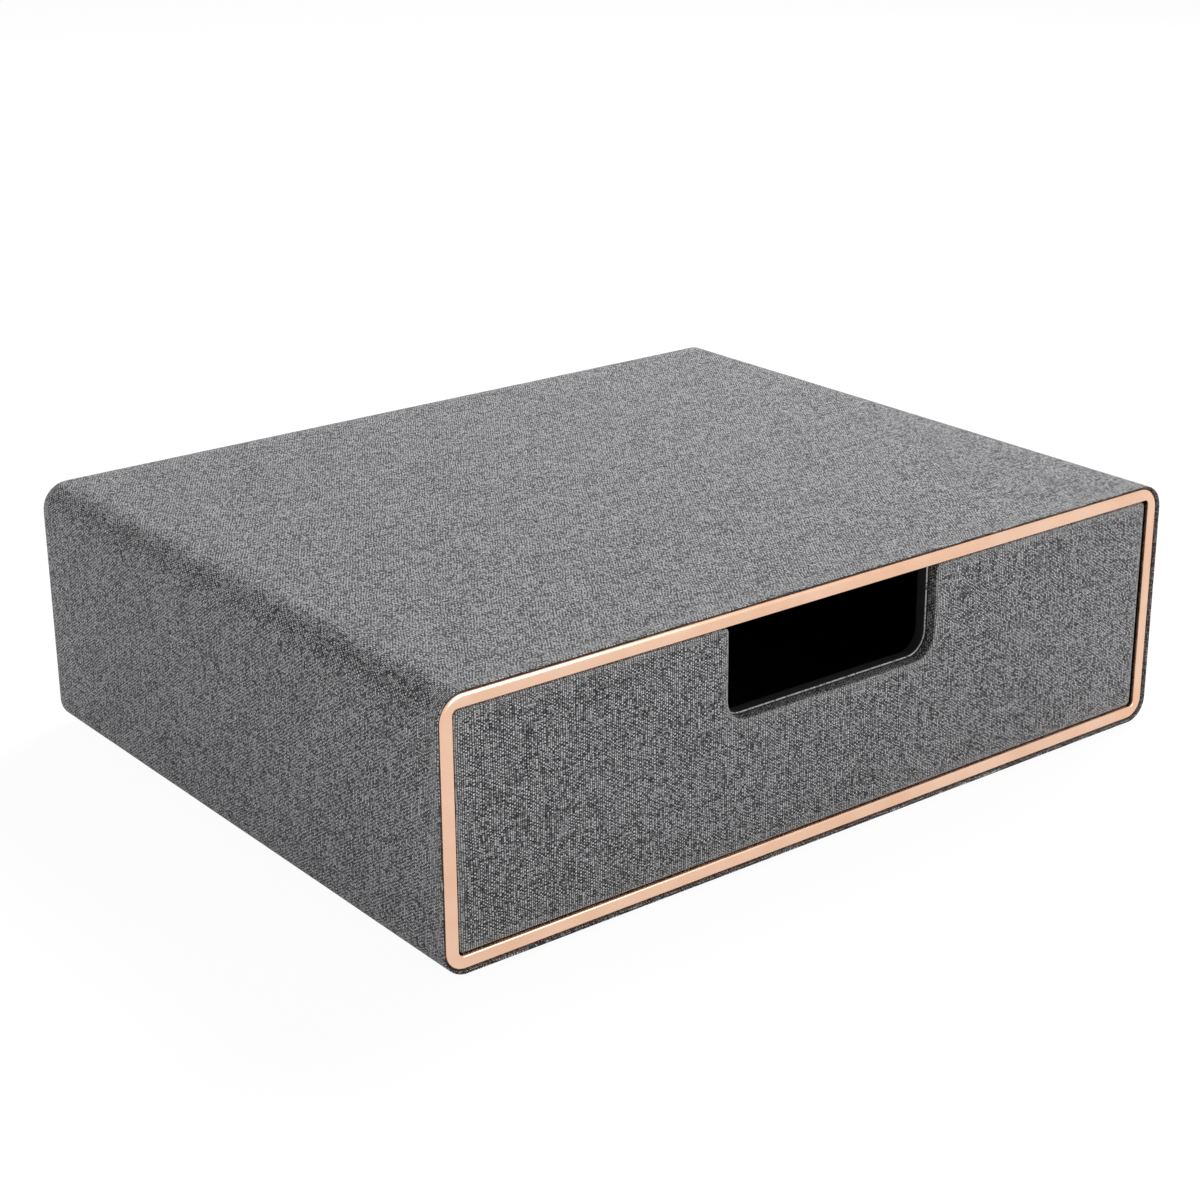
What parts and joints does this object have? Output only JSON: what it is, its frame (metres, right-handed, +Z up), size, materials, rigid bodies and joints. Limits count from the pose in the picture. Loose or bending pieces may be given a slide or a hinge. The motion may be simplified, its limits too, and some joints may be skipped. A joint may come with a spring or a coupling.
{
  "type": "file box with drawer",
  "caption": "Low cloth-covered desk box with round long edges, a metal-look frame round its mouth and a lined pull-out drawer for sheets of paper, opened by a finger notch.",
  "frame": {"origin": "on the surface the box stands on, under the middle of the case, with the drawer shut", "axes": "+X to the user's right facing the drawer, +Y to the back, +Z up; the drawer opens towards -Y"},
  "size_m": [0.34, 0.27, 0.1005],
  "materials": {
    "grey_cloth": "heather grey linen-look weave, matte",
    "rose_gold": "satin rose-gold plating",
    "board": "raw fibreboard",
    "black_board": "fibreboard faced with matte black paper",
    "black_card": "matte black paper over card",
    "foot_rubber": "matte black foam rubber"
  },
  "bodies": {
    "case": {"case_top_board": "board", "case_bottom_board": "board", "case_left_board": "board", "case_right_board": "board", "case_strip_top_left": "board", "case_strip_top_right": "board", "case_strip_bottom_left": "board", "case_strip_bottom_right": "board", "back_board": "board", "case_cloth": "grey_cloth", "back_cloth": "grey_cloth", "lining_floor": "black_card", "lining_ceiling": "black_card", "lining_left": "black_card", "lining_right": "black_card", "lining_back": "black_card", "trim_frame": "rose_gold", "foot_front_left": "foot_rubber", "foot_front_right": "foot_rubber", "foot_back_left": "foot_rubber", "foot_back_right": "foot_rubber"},
    "drawer": {"fascia_board": "board", "fascia_cloth": "grey_cloth", "drawer_front_board": "black_board", "drawer_back_board": "black_board", "drawer_left_board": "black_board", "drawer_right_board": "black_board", "drawer_bottom_board": "black_board", "drawer_floor_lining": "black_card", "drawer_front_lining": "black_card", "drawer_back_lining": "black_card", "drawer_left_lining": "black_card", "drawer_right_lining": "black_card"}
  },
  "joints": [
    {"name": "drawer_slide", "type": "slide", "parent": "case", "child": "drawer", "axis": [0, -1, 0], "range_m": [0, 0.235]}
  ]
}
